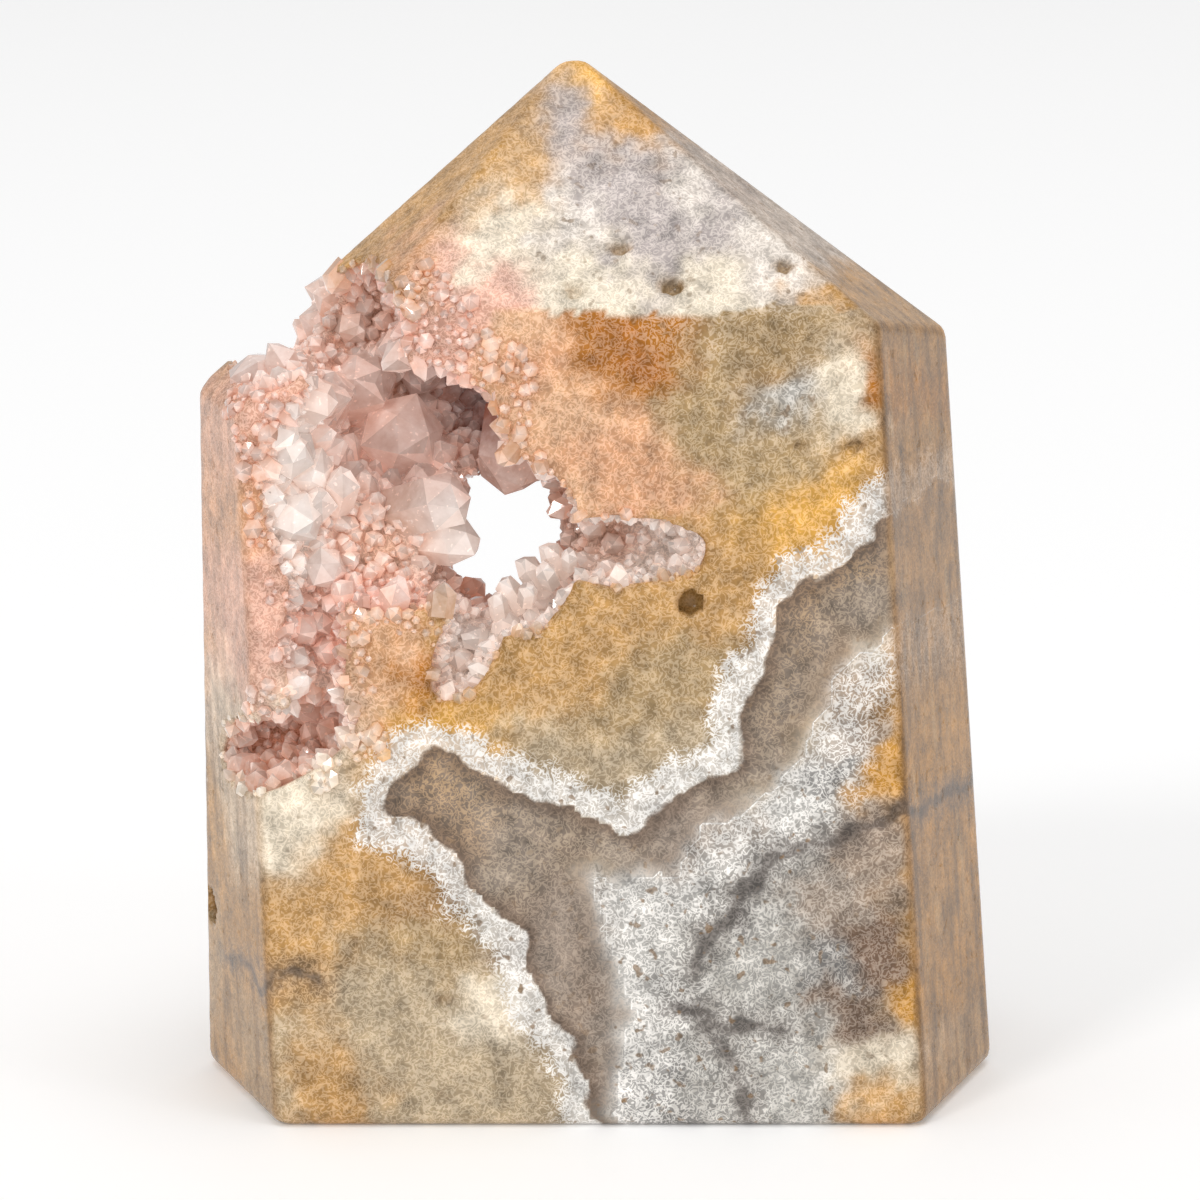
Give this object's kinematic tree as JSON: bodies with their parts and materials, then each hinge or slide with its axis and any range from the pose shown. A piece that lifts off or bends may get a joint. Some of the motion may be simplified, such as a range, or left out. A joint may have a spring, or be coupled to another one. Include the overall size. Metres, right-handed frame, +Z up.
{
  "type": "amethyst tower",
  "caption": "Free-standing polished point of pink amethyst in banded agate, with a flat base, rounded edges and a crystal-lined hollow that opens right through near the top.",
  "frame": {"origin": "centre of the bounding box on the flat base", "axes": "+Z up from the base to the tip, -Y out of the best side, +X to the right of it"},
  "size_m": [0.07, 0.038, 0.09],
  "materials": {
    "stone": "polished banded agate, ochre, cream and grey, with a soft gloss",
    "crystal": "milky pink to smoky clear quartz crystals"
  },
  "bodies": {
    "root": {"stone_tower": "stone", "crystal_crust": "crystal"}
  },
  "joints": []
}
